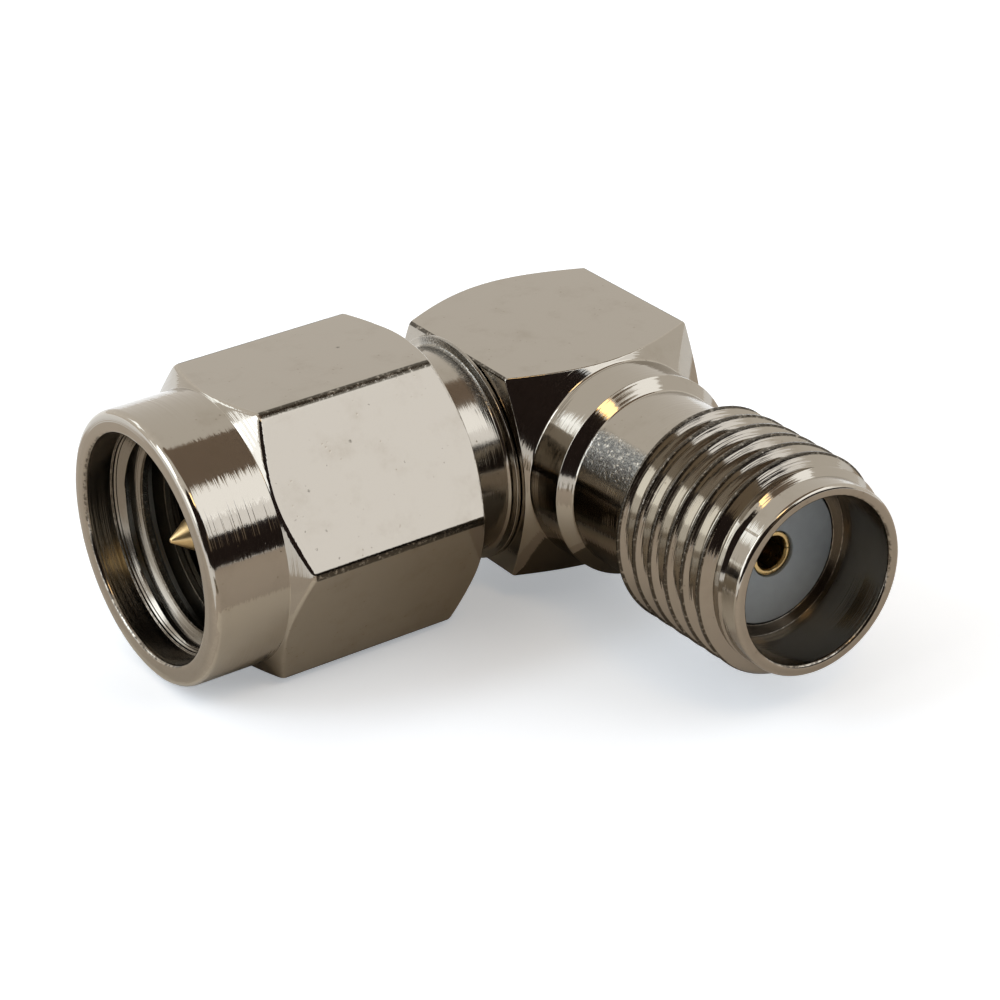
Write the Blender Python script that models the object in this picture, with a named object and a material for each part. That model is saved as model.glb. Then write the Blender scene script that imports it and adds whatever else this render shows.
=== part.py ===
"""A right-angle coaxial adapter: a plug with a hexagonal coupling nut and a threaded jack.

Metres, +Z up. The origin is the middle of the block's underside, straight below the point where
the axes of the two ports cross. The plug points to -X and the jack points to -Y. Each port's
pieces are drawn standing up, with their height measured from that crossing, and then laid down.
"""
import math

import bmesh
import bpy

MM = 0.001

# The thread that the jack carries and the nut takes. Most radii of both ports follow from it.
THREAD_RADIUS = 3.13 * MM           # crest of the jack's thread
THREAD_PITCH = 25.4 / 36 * MM
THREAD_DEPTH = 0.39 * MM
THREAD_CREST = 0.13 * MM            # width of the flat on a crest
FLANK_ANGLE = math.radians(30)      # half the angle of the thread
JACK_THREAD_TURN = 0.66             # where the threads start, in turns
NUT_THREAD_TURN = 0.0
RUNOUT_SLOPE = 2.5                  # how steeply a thread rises where it starts
LEAD_SLOPE = 1.0                    # slope of the cone at the thread's front end

# The square block and the jack, made from one bar
BLOCK_STEP = 0.03 * MM              # how far the flats of the block lie below the thread's crest
BLOCK_WIDTH = 2 * (THREAD_RADIUS - BLOCK_STEP)
FRONT_EXTRA = 0.44 * MM             # the block is this much longer in front than its half width
REAR_EXTRA = 0.2 * MM
BLOCK_FRONT = BLOCK_WIDTH / 2 + FRONT_EXTRA
BLOCK_REAR = BLOCK_WIDTH / 2 + REAR_EXTRA
FRONT_BEVEL = math.radians(33)      # slope of the turned corners beside the boss
REAR_BEVEL = math.radians(36)       # slope of the turned corners beside the cap
REAR_RIM = 0.55 * MM                # flat ring left around the cap
BAR_EDGE = 0.07 * MM                # rounding along the bars' long edges
BOSS_STEP = 0.13 * MM               # how far the boss lies below the flats
BOSS_LENGTH = 1.27 * MM
BOSS_FILLET = 0.12 * MM
BOSS_CHAMFER = 0.04 * MM
NECK_STEP = 0.5 * MM
NECK_RADIUS = THREAD_RADIUS - NECK_STEP
NECK_FILLET = 0.15 * MM
JACK_LENGTH = 12.61 * MM            # from the plug's axis to the mouth of the jack
LEAD_LENGTH = 0.61 * MM             # plain end in front of the thread
LEAD_RADIUS = THREAD_RADIUS - THREAD_DEPTH
LEAD_ROUND = 0.13 * MM
THREAD_LENGTH = 4.55 * MM
RIM_WALL = 0.34 * MM
MOUTH_RADIUS = LEAD_RADIUS - RIM_WALL
MOUTH_DEPTH = 1.96 * MM             # from the jack's mouth to the ring that the plug meets
MOUTH_ROUND = 0.11 * MM
SEAT_WIDTH = 0.35 * MM
DIELECTRIC_RADIUS = MOUTH_RADIUS - SEAT_WIDTH

# The cap that closes the block behind the jack
CAP_SEAT = 0.25 * MM
CAP_RADIUS = DIELECTRIC_RADIUS + CAP_SEAT
CAP_THICKNESS = 0.55 * MM
CAP_RECESS = 0.05 * MM

# The plug's outer conductor, pressed into the side of the block
SHELL_STEP = 0.13 * MM              # how far the shell lies below the thread's crest
SHELL_RADIUS = THREAD_RADIUS - SHELL_STEP
SPIGOT_STEP = 0.4 * MM
SPIGOT_RADIUS = SHELL_RADIUS - SPIGOT_STEP
SPIGOT_LENGTH = 0.85 * MM
CROSS_BORE_STEP = 1.1 * MM          # the way from the spigot to the jack's bore is this much smaller
FLANGE_REACH = 0.3 * MM
FLANGE_THICKNESS = 0.12 * MM
FLANGE_FILLET = 0.18 * MM
SHELL_LENGTH = 4.55 * MM            # from the block's side to the face behind the gasket
SHELL_SHOULDER = BLOCK_WIDTH / 2 + SHELL_LENGTH
TUBE_WALL = 0.23 * MM
TUBE_RADIUS = DIELECTRIC_RADIUS + TUBE_WALL
TUBE_LENGTH = 2.65 * MM
PLUG_FACE = SHELL_SHOULDER + TUBE_LENGTH
SMALL_CHAMFER = 0.1 * MM

# The gasket, and the split ring that keeps the nut on
GASKET_THICKNESS = 0.8 * MM
GASKET_WALL = 0.64 * MM
NUT_GAP = 1.71 * MM                 # from the block's side to the nut
NUT_REAR = BLOCK_WIDTH / 2 + NUT_GAP
NUT_BEARING = 1.49 * MM             # from the nut's rear face to the middle of the ring
RING_PLACE = NUT_REAR + NUT_BEARING
RING_THICKNESS = 0.5 * MM
RING_REACH = 0.4 * MM               # how far the ring stands out of the shell
RING_BITE = 0.25 * MM               # how far it sinks into the shell
RING_SPLIT = 0.9 * MM
NUT_FLOAT = 0.12 * MM               # the nut slides this far to each side

# The coupling nut
NUT_REACH = 3.03 * MM               # from the plug's face to the nut's rim
NUT_FRONT = PLUG_FACE + NUT_REACH
COLLAR_LENGTH = 2.34 * MM
COLLAR_STEP = 0.06 * MM             # how far the collar lies below the flats
COLLAR_ROUND = 0.22 * MM
HEX_FRONT = NUT_FRONT - COLLAR_LENGTH
HEX_BEVEL = math.radians(31)
NUT_TURN = math.radians(2.2)        # the nut's turn at rest, lying on one of its flats
NUT_MOUTH_STEP = 0.16 * MM          # the mouth, entry and relief are this much wider than the thread
ENTRY_STEP = 0.1 * MM
RELIEF_STEP = 0.12 * MM
NUT_MOUTH_RADIUS = THREAD_RADIUS + NUT_MOUTH_STEP
NUT_MOUTH_DEPTH = 0.84 * MM
NUT_MOUTH_ROUND = 0.12 * MM
NUT_WALL = 0.71 * MM                # from the mouth to the flats
NUT_ACROSS_FLATS = 2 * (NUT_MOUTH_RADIUS + NUT_WALL)
ENTRY_LAND = 0.07 * MM
NUT_THREAD_DEPTH = 0.35 * MM
NUT_THREAD_SPACE = 0.27 * MM        # from the gasket to the thread
RELIEF_LEAD = 0.95 * MM             # from the middle of the ring to the relief behind the thread
GROOVE_SPACE = 0.05 * MM            # room around the ring in the nut's groove

# The contacts
PIN_RADIUS = 0.46 * MM
PIN_REACH = 2.15 * MM               # from the plug's face to the tip
PIN_CONE = 0.62 * MM
PIN_TIP = 0.06 * MM
CONTACT_RADIUS = 0.635 * MM
CONTACT_RECESS = 0.05 * MM          # how far the contacts lie below the insulators
SOCKET_BORE = 0.47 * MM
SOCKET_DEPTH = 2.7 * MM
SLOT_WIDTH = 0.1 * MM
SLOT_DEPTH = 1.9 * MM
TAIL_RADIUS = 0.4 * MM
TAIL_REACH = 0.95 * MM              # how far the socket's tail goes past the pin's axis

# Clearances
PRESS_GAP = 0.03 * MM               # around pieces that are pressed together
RUNNING_GAP = 0.06 * MM             # between the nut and the shell
THREAD_GAP = 0.06 * MM              # between the crest of one thread and the root of its mate
OVERRUN = 1.0 * MM                  # how far a cutter passes the face it starts from

AXIS_HEIGHT = BLOCK_WIDTH / 2
SEGMENTS = 36
MERGE = 0.00000005


def material(name, colour, roughness, metallic=1.0):
    """One plain Principled material."""
    made = bpy.data.materials.new(name)
    made.use_nodes = True
    shader = made.node_tree.nodes["Principled BSDF"]
    shader.inputs["Base Color"].default_value = (*colour, 1.0)
    shader.inputs["Roughness"].default_value = roughness
    shader.inputs["Metallic"].default_value = metallic
    return made


def add_object(name, bm, made_of=None):
    """Turn a bmesh into an object that is shaded smooth across its shallow edges."""
    mesh = bpy.data.meshes.new(name)
    bm.to_mesh(mesh)
    bm.free()
    mesh.shade_smooth()
    mesh.set_sharp_from_angle(angle=math.radians(28))
    made = bpy.data.objects.new(name, mesh)
    bpy.context.scene.collection.objects.link(made)
    if made_of:
        mesh.materials.append(made_of)
    return made


def arc(centre, radius, start, end, steps=4):
    """Points of (radius, height) on an arc, with its angles in degrees from the +radius side."""
    angles = [math.radians(start + (end - start) * step / steps) for step in range(steps + 1)]
    return [(centre[0] + radius * math.cos(a), centre[1] + radius * math.sin(a)) for a in angles]


def ring(bm, radius, height):
    """The points of one ring of a turned piece, in order about Z from the +X side."""
    points = [v for v in bm.verts
              if abs(v.co.z - height) < MERGE and abs(v.co.xy.length - radius) < MERGE]
    return sorted(points, key=lambda v: (math.atan2(v.co.y, v.co.x) + MERGE) % math.tau)


def add_thread(bm, low, high, crest, depth, turn, slope):
    """Join two rings, given as (radius, height), by a right-hand thread about Z.

    Each turn of the thread is four rows of points: both edges of the crest and both edges of
    the root. The rows climb one pitch in each turn, so the last column of the grid meets the
    first one four rows higher. Points past either end are those of the ring there. The thread
    rises from the low ring at the run-out's slope and from the high one at the slope given.
    """
    flank = depth * math.tan(FLANK_ANGLE)
    turn_rows = [
        (0, crest - depth),
        (flank, crest),
        (flank + THREAD_CREST, crest),
        (2 * flank + THREAD_CREST, crest - depth),
    ]
    low_ring, high_ring = ring(bm, *low), ring(bm, *high)
    columns = len(low_ring)
    rows = 4 * math.ceil((high[1] - low[1]) / THREAD_PITCH + 2)
    made = {}

    def point(row, column):
        if column == columns:
            row, column = row + 4, 0
        rise, radius = turn_rows[row % 4]
        height = low[1] + THREAD_PITCH * (row // 4 - 2 + column / columns + turn) + rise
        if height < low[1] + MERGE:
            return low_ring[column]
        if height > high[1] - MERGE:
            return high_ring[column]
        if (row, column) not in made:
            radius = min(radius, low[0] + RUNOUT_SLOPE * (height - low[1]),
                         high[0] + slope * (high[1] - height))
            angle = math.tau * column / columns
            place = (radius * math.cos(angle), radius * math.sin(angle), height)
            made[row, column] = bm.verts.new(place)
        return made[row, column]

    for row in range(rows + 1):
        for column in range(columns):
            start, start_next = point(row, column), point(row, column + 1)
            end, end_next = point(row + 1, column), point(row + 1, column + 1)
            for corners in ((start, start_next, end_next), (start, end_next, end)):
                if len(set(corners)) == 3:
                    bm.faces.new(corners)


def turned(name, outline, made_of=None, segments=SEGMENTS, thread=None):
    """Spin an outline of (radius, height) points about Z into one closed solid.

    A thread is (low, high, crest, depth, turn, slope), and takes the place of the straight
    line between two neighbouring points of the outline.
    """
    bm = bmesh.new()
    verts = [bm.verts.new((radius, 0, height)) for radius, height in outline]
    pairs = list(zip(range(len(outline)), range(1, len(outline))))
    if outline[0][0] > 0:
        pairs.append((len(outline) - 1, 0))
    if thread:
        pairs = [pair for pair in pairs if outline[pair[0]] != thread[0]]
    edges = [bm.edges.new((verts[start], verts[end])) for start, end in pairs]
    bmesh.ops.spin(bm, geom=verts + edges, cent=(0, 0, 0), axis=(0, 0, 1),
                   angle=math.tau, steps=segments, use_merge=True, use_duplicate=False)
    bmesh.ops.remove_doubles(bm, verts=bm.verts, dist=MERGE)
    if thread:
        add_thread(bm, *thread)
    bmesh.ops.recalc_face_normals(bm, faces=bm.faces)
    return add_object(name, bm, made_of)


def bar(name, sides, across_flats, bottom, top, turn):
    """A bar with flat sides that stands on Z, with its long edges rounded."""
    bm = bmesh.new()
    corner = across_flats / 2 / math.cos(math.pi / sides)
    angles = [turn + math.tau * (side + 0.5) / sides for side in range(sides)]
    base = [bm.verts.new((corner * math.cos(a), corner * math.sin(a), bottom)) for a in angles]
    face = bm.faces.new(base)
    raised = bmesh.ops.extrude_face_region(bm, geom=[face])["geom"]
    lifted = [item for item in raised if isinstance(item, bmesh.types.BMVert)]
    bmesh.ops.translate(bm, verts=lifted, vec=(0, 0, top - bottom))
    long_edges = [e for e in bm.edges if abs(e.verts[0].co.z - e.verts[1].co.z) > MERGE]
    bmesh.ops.bevel(bm, geom=long_edges, offset=BAR_EDGE, segments=2, profile=0.5,
                    affect="EDGES")
    bmesh.ops.recalc_face_normals(bm, faces=bm.faces)
    return add_object(name, bm)


def box(name, size, place):
    """A plain box about a point."""
    bm = bmesh.new()
    bmesh.ops.create_cube(bm, size=1)
    bmesh.ops.scale(bm, verts=bm.verts, vec=size)
    bmesh.ops.translate(bm, verts=bm.verts, vec=place)
    return add_object(name, bm)


def combine(piece, operation, tool):
    """Cut, trim or join a piece with a tool, which stays in the file as a guide."""
    modifier = piece.modifiers.new(tool.name, "BOOLEAN")
    modifier.operation = operation
    modifier.object = tool
    tool.parent = piece
    tool.hide_render = True
    tool.display_type = "WIRE"


def lay_down(piece, port):
    """Lay a piece that was drawn standing up along the plug's or the jack's axis."""
    piece.rotation_euler = (0, -math.pi / 2, 0) if port == "plug" else (math.pi / 2, 0, 0)
    piece.location = (0, 0, AXIS_HEIGHT)


def body_block(nickel):
    """The block, boss, neck and threaded end, turned from a square bar and bored from both ends.

    The turned blank is trimmed by the square bar, so its cones leave the arched ends of the flats.
    """
    boss_radius = BLOCK_WIDTH / 2 - BOSS_STEP
    boss_end = BLOCK_FRONT + BOSS_LENGTH
    past_corner = BLOCK_WIDTH / 2 * math.sqrt(2) + BAR_EDGE
    cap_seat = CAP_RADIUS + PRESS_GAP
    rear_rim = cap_seat + REAR_RIM
    rear_drop = (past_corner - rear_rim) * math.tan(REAR_BEVEL)
    front_drop = (past_corner - boss_radius) * math.tan(FRONT_BEVEL)
    fillet_height = BLOCK_FRONT + BOSS_FILLET * (1 / math.cos(FRONT_BEVEL) - math.tan(FRONT_BEVEL))
    fillet_end = 270 - math.degrees(FRONT_BEVEL)
    blank = [
        (0, -BLOCK_REAR),
        (rear_rim, -BLOCK_REAR),
        (past_corner, -BLOCK_REAR + rear_drop),
        (past_corner, BLOCK_FRONT - front_drop),
        *arc((boss_radius + BOSS_FILLET, fillet_height), BOSS_FILLET, fillet_end, 180, 3),
        (boss_radius, boss_end - BOSS_CHAMFER),
        (boss_radius - BOSS_CHAMFER, boss_end),
        (0, boss_end),
    ]
    block = turned("body_block", blank, nickel)
    combine(block, "INTERSECT", bar("square_bar", 4, BLOCK_WIDTH, -BLOCK_REAR - OVERRUN,
                                    boss_end + OVERRUN, 0))
    thread_low = (NECK_RADIUS, JACK_LENGTH - LEAD_LENGTH - THREAD_LENGTH)
    thread_high = (LEAD_RADIUS, JACK_LENGTH - LEAD_LENGTH)
    barrel = [
        (0, BLOCK_FRONT),
        (NECK_RADIUS + NECK_FILLET, BLOCK_FRONT),
        *arc((NECK_RADIUS + NECK_FILLET, boss_end + NECK_FILLET), NECK_FILLET, 270, 180, 3),
        thread_low,
        thread_high,
        *arc((LEAD_RADIUS - LEAD_ROUND, JACK_LENGTH - LEAD_ROUND), LEAD_ROUND, 0, 90, 3),
        (0, JACK_LENGTH),
    ]
    combine(block, "UNION", turned("jack_barrel", barrel, thread=(
        thread_low, thread_high, THREAD_RADIUS, THREAD_DEPTH, JACK_THREAD_TURN, LEAD_SLOPE)))
    seat_floor = -BLOCK_REAR + CAP_THICKNESS + CAP_RECESS
    bore = [
        (0, -BLOCK_REAR - OVERRUN),
        (cap_seat, -BLOCK_REAR - OVERRUN),
        (cap_seat, seat_floor),
        (DIELECTRIC_RADIUS, seat_floor),
        (DIELECTRIC_RADIUS, JACK_LENGTH - MOUTH_DEPTH),
        (MOUTH_RADIUS, JACK_LENGTH - MOUTH_DEPTH),
        *arc((MOUTH_RADIUS + MOUTH_ROUND, JACK_LENGTH - MOUTH_ROUND), MOUTH_ROUND, 180, 90, 3),
        (MOUTH_RADIUS + MOUTH_ROUND, JACK_LENGTH + OVERRUN),
        (0, JACK_LENGTH + OVERRUN),
    ]
    combine(block, "DIFFERENCE", turned("jack_bore", bore))
    spigot_seat = SPIGOT_RADIUS + PRESS_GAP
    seat_end = BLOCK_WIDTH / 2 - SPIGOT_LENGTH - PRESS_GAP
    cross_bore = SPIGOT_RADIUS - CROSS_BORE_STEP
    side_bore = [
        (0, 0),
        (cross_bore, 0),
        (cross_bore, seat_end),
        (spigot_seat, seat_end),
        (spigot_seat, BLOCK_WIDTH / 2 + OVERRUN),
        (0, BLOCK_WIDTH / 2 + OVERRUN),
    ]
    side = turned("plug_seat", side_bore)
    side.rotation_euler = (0, -math.pi / 2, 0)
    combine(block, "DIFFERENCE", side)
    lay_down(block, "jack")


def rear_cap(nickel):
    """The disc that is pressed in behind the jack, once the contacts are joined."""
    low = -BLOCK_REAR + CAP_RECESS
    high = low + CAP_THICKNESS - PRESS_GAP
    outline = [
        (0, low),
        (CAP_RADIUS - SMALL_CHAMFER, low),
        (CAP_RADIUS, low + SMALL_CHAMFER),
        (CAP_RADIUS, high),
        (0, high),
    ]
    lay_down(turned("rear_cap", outline, nickel), "jack")


def male_shell(nickel):
    """The plug's outer conductor, with its spigot, seat flange, ring groove and front tube."""
    side = BLOCK_WIDTH / 2
    flange = side + PRESS_GAP
    flange_top = flange + FLANGE_THICKNESS
    flange_radius = SHELL_RADIUS + FLANGE_REACH
    groove_half = RING_THICKNESS / 2 + NUT_FLOAT + PRESS_GAP
    groove_radius = SHELL_RADIUS - RING_BITE - RUNNING_GAP
    outline = [
        (DIELECTRIC_RADIUS, side - SPIGOT_LENGTH),
        (SPIGOT_RADIUS, side - SPIGOT_LENGTH),
        (SPIGOT_RADIUS, flange),
        (flange_radius, flange),
        (flange_radius, flange_top),
        *arc((SHELL_RADIUS + FLANGE_FILLET, flange_top + FLANGE_FILLET), FLANGE_FILLET, 270, 180,
             3),
        (SHELL_RADIUS, RING_PLACE - groove_half),
        (groove_radius, RING_PLACE - groove_half),
        (groove_radius, RING_PLACE + groove_half),
        (SHELL_RADIUS, RING_PLACE + groove_half),
        (SHELL_RADIUS, SHELL_SHOULDER - SMALL_CHAMFER),
        (SHELL_RADIUS - SMALL_CHAMFER, SHELL_SHOULDER),
        (TUBE_RADIUS, SHELL_SHOULDER),
        (TUBE_RADIUS, PLUG_FACE - SMALL_CHAMFER),
        (TUBE_RADIUS - SMALL_CHAMFER, PLUG_FACE),
        (DIELECTRIC_RADIUS, PLUG_FACE),
    ]
    lay_down(turned("male_shell", outline, nickel), "plug")


def gasket(silicone):
    """The soft ring on the plug's shoulder, which the mouth of a mated jack squeezes."""
    inner = TUBE_RADIUS + PRESS_GAP
    outer = inner + GASKET_WALL
    low = SHELL_SHOULDER + PRESS_GAP
    high = low + GASKET_THICKNESS
    corner = SMALL_CHAMFER
    outline = [
        (inner, low),
        (outer - corner, low),
        (outer, low + corner),
        (outer, high - corner),
        (outer - corner, high),
        (inner, high),
    ]
    lay_down(turned("gasket", outline, silicone), "plug")


def retaining_ring(bronze):
    """The split spring ring that sits half in the shell's groove and half in the nut's."""
    inner = SHELL_RADIUS - RING_BITE
    outer = SHELL_RADIUS + RING_REACH
    low = RING_PLACE - RING_THICKNESS / 2
    high = RING_PLACE + RING_THICKNESS / 2
    ring = turned("retaining_ring", [(inner, low), (outer, low), (outer, high), (inner, high)],
                  bronze)
    length = 2 * (outer - inner)
    split = box("ring_split", (length, RING_SPLIT, 2 * RING_THICKNESS),
                ((inner + outer) / 2, 0, RING_PLACE))
    combine(ring, "DIFFERENCE", split)
    lay_down(ring, "plug")


def coupling_nut(nickel):
    """The captive nut: hexagonal bar with a turned collar, bored for the shell and threaded.

    Its corners are turned off at both ends. The thread takes the crests of a jack's thread, and
    starts in front of the gasket.
    """
    flat = NUT_ACROSS_FLATS / 2
    past_corner = flat / math.cos(math.pi / 6) + BAR_EDGE
    drop = (past_corner - flat) * math.tan(HEX_BEVEL)
    collar = flat - COLLAR_STEP
    outline = [
        (0, NUT_REAR),
        (flat, NUT_REAR),
        (past_corner, NUT_REAR + drop),
        (past_corner, HEX_FRONT - drop),
        (collar, HEX_FRONT + COLLAR_STEP * math.tan(HEX_BEVEL)),
        *arc((collar - COLLAR_ROUND, NUT_FRONT - COLLAR_ROUND), COLLAR_ROUND, 0, 90),
        (0, NUT_FRONT),
    ]
    nut = turned("coupling_nut", outline, nickel)
    combine(nut, "INTERSECT", bar("hexagonal_bar", 6, NUT_ACROSS_FLATS, NUT_REAR - OVERRUN,
                                  NUT_FRONT + OVERRUN, NUT_TURN))
    bearing = SHELL_RADIUS + RUNNING_GAP
    groove = SHELL_RADIUS + RING_REACH + GROOVE_SPACE
    groove_half = RING_THICKNESS / 2 + PRESS_GAP
    thread_outer = THREAD_RADIUS + THREAD_GAP
    thread_inner = thread_outer - NUT_THREAD_DEPTH
    mouth_floor = NUT_FRONT - NUT_MOUTH_DEPTH
    entry = mouth_floor - ENTRY_LAND
    entry_radius = THREAD_RADIUS + ENTRY_STEP
    relief_radius = THREAD_RADIUS + RELIEF_STEP
    relief_end = RING_PLACE + RELIEF_LEAD
    gasket_front = SHELL_SHOULDER + PRESS_GAP + GASKET_THICKNESS
    thread_low = (thread_inner, gasket_front + NUT_THREAD_SPACE)
    thread_high = (thread_inner, entry - (entry_radius - thread_inner))
    bore = [
        (0, NUT_REAR - OVERRUN),
        (bearing + SMALL_CHAMFER, NUT_REAR - OVERRUN),
        (bearing + SMALL_CHAMFER, NUT_REAR),
        (bearing, NUT_REAR + SMALL_CHAMFER),
        (bearing, RING_PLACE - groove_half),
        (groove, RING_PLACE - groove_half),
        (groove, RING_PLACE + groove_half),
        (bearing, RING_PLACE + groove_half),
        (bearing, relief_end),
        (relief_radius, relief_end),
        (relief_radius, thread_low[1]),
        thread_low,
        thread_high,
        (entry_radius, entry),
        (entry_radius, mouth_floor),
        (NUT_MOUTH_RADIUS, mouth_floor),
        *arc((NUT_MOUTH_RADIUS + NUT_MOUTH_ROUND, NUT_FRONT - NUT_MOUTH_ROUND), NUT_MOUTH_ROUND,
             180, 90, 3),
        (NUT_MOUTH_RADIUS + NUT_MOUTH_ROUND, NUT_FRONT + OVERRUN),
        (0, NUT_FRONT + OVERRUN),
    ]
    combine(nut, "DIFFERENCE", turned("nut_bore", bore, thread=(
        thread_low, thread_high, thread_outer, NUT_THREAD_DEPTH, NUT_THREAD_TURN,
        RUNOUT_SLOPE)))
    lay_down(nut, "plug")


def male_insulator(ptfe):
    """The plug's insulator, flush with the end of the outer conductor."""
    outline = [
        (CONTACT_RADIUS + PRESS_GAP, BLOCK_WIDTH / 2 - SPIGOT_LENGTH),
        (DIELECTRIC_RADIUS - PRESS_GAP, BLOCK_WIDTH / 2 - SPIGOT_LENGTH),
        (DIELECTRIC_RADIUS - PRESS_GAP, PLUG_FACE),
        (CONTACT_RADIUS + PRESS_GAP, PLUG_FACE),
    ]
    lay_down(turned("male_insulator", outline, ptfe), "plug")


def female_insulator(ptfe):
    """The jack's insulator, flush with the ring at the bottom of the mouth."""
    bottom = DIELECTRIC_RADIUS + PRESS_GAP
    top = JACK_LENGTH - MOUTH_DEPTH
    outline = [
        (CONTACT_RADIUS + PRESS_GAP, bottom),
        (DIELECTRIC_RADIUS - PRESS_GAP, bottom),
        (DIELECTRIC_RADIUS - PRESS_GAP, top),
        (CONTACT_RADIUS + PRESS_GAP, top),
    ]
    lay_down(turned("female_insulator", outline, ptfe), "jack")


def centre_pin(gold):
    """The plug's pin: a cone point, a step behind the face and a cross hole at the inner end."""
    tip = PLUG_FACE + PIN_REACH
    outline = [
        (0, -CONTACT_RADIUS),
        (CONTACT_RADIUS, -CONTACT_RADIUS),
        (CONTACT_RADIUS, PLUG_FACE - CONTACT_RECESS),
        (PIN_RADIUS, PLUG_FACE - CONTACT_RECESS),
        (PIN_RADIUS, tip - PIN_CONE),
        (PIN_TIP, tip),
        (0, tip),
    ]
    pin = turned("centre_pin", outline, gold, 24)
    reach = 2 * CONTACT_RADIUS
    cross = turned("cross_hole", [(0, -reach), (TAIL_RADIUS + PRESS_GAP, -reach),
                                  (TAIL_RADIUS + PRESS_GAP, reach), (0, reach)], segments=24)
    cross.rotation_euler = (math.pi / 2, 0, 0)
    combine(pin, "DIFFERENCE", cross)
    lay_down(pin, "plug")


def socket_contact(gold):
    """The jack's contact: a slotted socket in front and a tail through the pin's cross hole."""
    mouth = JACK_LENGTH - MOUTH_DEPTH - CONTACT_RECESS
    shoulder = CONTACT_RADIUS + 2 * PRESS_GAP
    outline = [
        (0, -TAIL_REACH),
        (TAIL_RADIUS, -TAIL_REACH),
        (TAIL_RADIUS, shoulder),
        (CONTACT_RADIUS, shoulder),
        (CONTACT_RADIUS, mouth),
        (SOCKET_BORE, mouth),
        (SOCKET_BORE, mouth - SOCKET_DEPTH),
        (0, mouth - SOCKET_DEPTH - SOCKET_BORE),
    ]
    contact = turned("socket_contact", outline, gold, 24)
    across = 4 * CONTACT_RADIUS
    for number, size in enumerate(((across, SLOT_WIDTH), (SLOT_WIDTH, across))):
        slot = box(f"socket_slot_{number}", (*size, 2 * SLOT_DEPTH), (0, 0, mouth))
        combine(contact, "DIFFERENCE", slot)
    lay_down(contact, "jack")


for old in list(bpy.data.objects):
    bpy.data.objects.remove(old)

NICKEL = material("nickel_plate", (0.62, 0.58, 0.53), 0.18)
GOLD = material("gold_plate", (0.83, 0.61, 0.28), 0.22)
BRONZE = material("spring_bronze", (0.55, 0.36, 0.2), 0.35)
PTFE = material("white_ptfe", (0.86, 0.86, 0.84), 0.45, 0.0)
SILICONE = material("red_silicone", (0.55, 0.1, 0.06), 0.6, 0.0)

body_block(NICKEL)
rear_cap(NICKEL)
male_shell(NICKEL)
gasket(SILICONE)
retaining_ring(BRONZE)
coupling_nut(NICKEL)
male_insulator(PTFE)
female_insulator(PTFE)
centre_pin(GOLD)
socket_contact(GOLD)
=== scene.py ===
"""The looks of the right-angle coaxial adapter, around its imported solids.

Sizes here are in millimetres unless a name says otherwise, and are those of the solids. Each port
has its own upright frame: the height runs from the crossing of the two axes towards the mouth,
and the angle starts at +X for the jack and at +Z for the plug.
"""

import math

import bmesh
import bpy
from mathutils import Matrix, Vector


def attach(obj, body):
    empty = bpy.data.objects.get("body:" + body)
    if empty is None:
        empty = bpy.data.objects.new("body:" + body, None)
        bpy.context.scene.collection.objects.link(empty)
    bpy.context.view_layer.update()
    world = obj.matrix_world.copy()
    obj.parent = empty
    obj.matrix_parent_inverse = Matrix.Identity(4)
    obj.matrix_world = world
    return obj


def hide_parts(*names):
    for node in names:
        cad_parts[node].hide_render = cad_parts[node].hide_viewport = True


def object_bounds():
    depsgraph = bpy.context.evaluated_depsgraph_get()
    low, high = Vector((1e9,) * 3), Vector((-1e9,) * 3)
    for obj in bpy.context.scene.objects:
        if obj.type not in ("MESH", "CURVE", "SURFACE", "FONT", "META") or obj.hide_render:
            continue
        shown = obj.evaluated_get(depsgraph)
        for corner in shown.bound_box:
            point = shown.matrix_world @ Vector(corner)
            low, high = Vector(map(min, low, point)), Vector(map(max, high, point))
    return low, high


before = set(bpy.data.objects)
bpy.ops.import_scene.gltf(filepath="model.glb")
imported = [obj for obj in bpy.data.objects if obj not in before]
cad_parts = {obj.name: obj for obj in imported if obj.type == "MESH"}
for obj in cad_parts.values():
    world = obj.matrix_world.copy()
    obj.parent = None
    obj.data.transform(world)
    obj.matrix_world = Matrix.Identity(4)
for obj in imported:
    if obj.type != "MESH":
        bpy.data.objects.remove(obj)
solid_low, solid_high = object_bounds()

# Camera. The fitted view of the photograph: a long lens, a little above the adapter, which looks
# past the jack's mouth and along the nut.
MM = 0.001
camera_data = bpy.data.cameras.new("camera")
camera_data.lens = 125.42
camera_data.sensor_width = 36
camera_data.clip_start = 0.001
camera_data.clip_end = 5
camera = bpy.data.objects.new("camera", camera_data)
bpy.context.scene.collection.objects.link(camera)
right, up = Vector((0.82718, -0.56081, -0.03540)), Vector((0.28410, 0.36302, 0.88741))
camera.matrix_world = Matrix.Translation(Vector((-50.710, -75.235, 47.384)) * MM) @ Matrix(
    (right, up, right.cross(up))).transposed().to_4x4()
bpy.context.scene.camera = camera

# Floor, cards and lights. A white table in a pale room, five soft boxes and a small warm lamp. The
# dark and brown cards around and overhead and the mats on the table show only in the metal, where
# they make the bands of polished plate. The dark mat under the block is painted shade: it stands
# in for the table's shade under the adapter, where the metal sees it.
scene = bpy.context.scene
scene.view_settings.view_transform = "Standard"
room = bpy.data.worlds.new("pale_room")
scene.world = room
room.use_nodes = True
room.node_tree.nodes["Background"].inputs["Color"].default_value = (1, 0.965, 0.91, 1)
room.node_tree.nodes["Background"].inputs["Strength"].default_value = 1.0


def wire(tree, start, out, end, into):
    """One link of a node tree, with its sockets by name or number."""
    tree.links.new(start.outputs[out], end.inputs[into])


def number_node(tree, kind, first, second=None, clamp=False):
    """A Math node; each input is a number or a (node, output) pair."""
    made = tree.nodes.new("ShaderNodeMath")
    made.operation = kind
    made.use_clamp = clamp
    for place, value in enumerate((first, second)):
        if isinstance(value, tuple):
            wire(tree, *value, made, place)
        elif value is not None:
            made.inputs[place].default_value = value
    return made, 0


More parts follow.
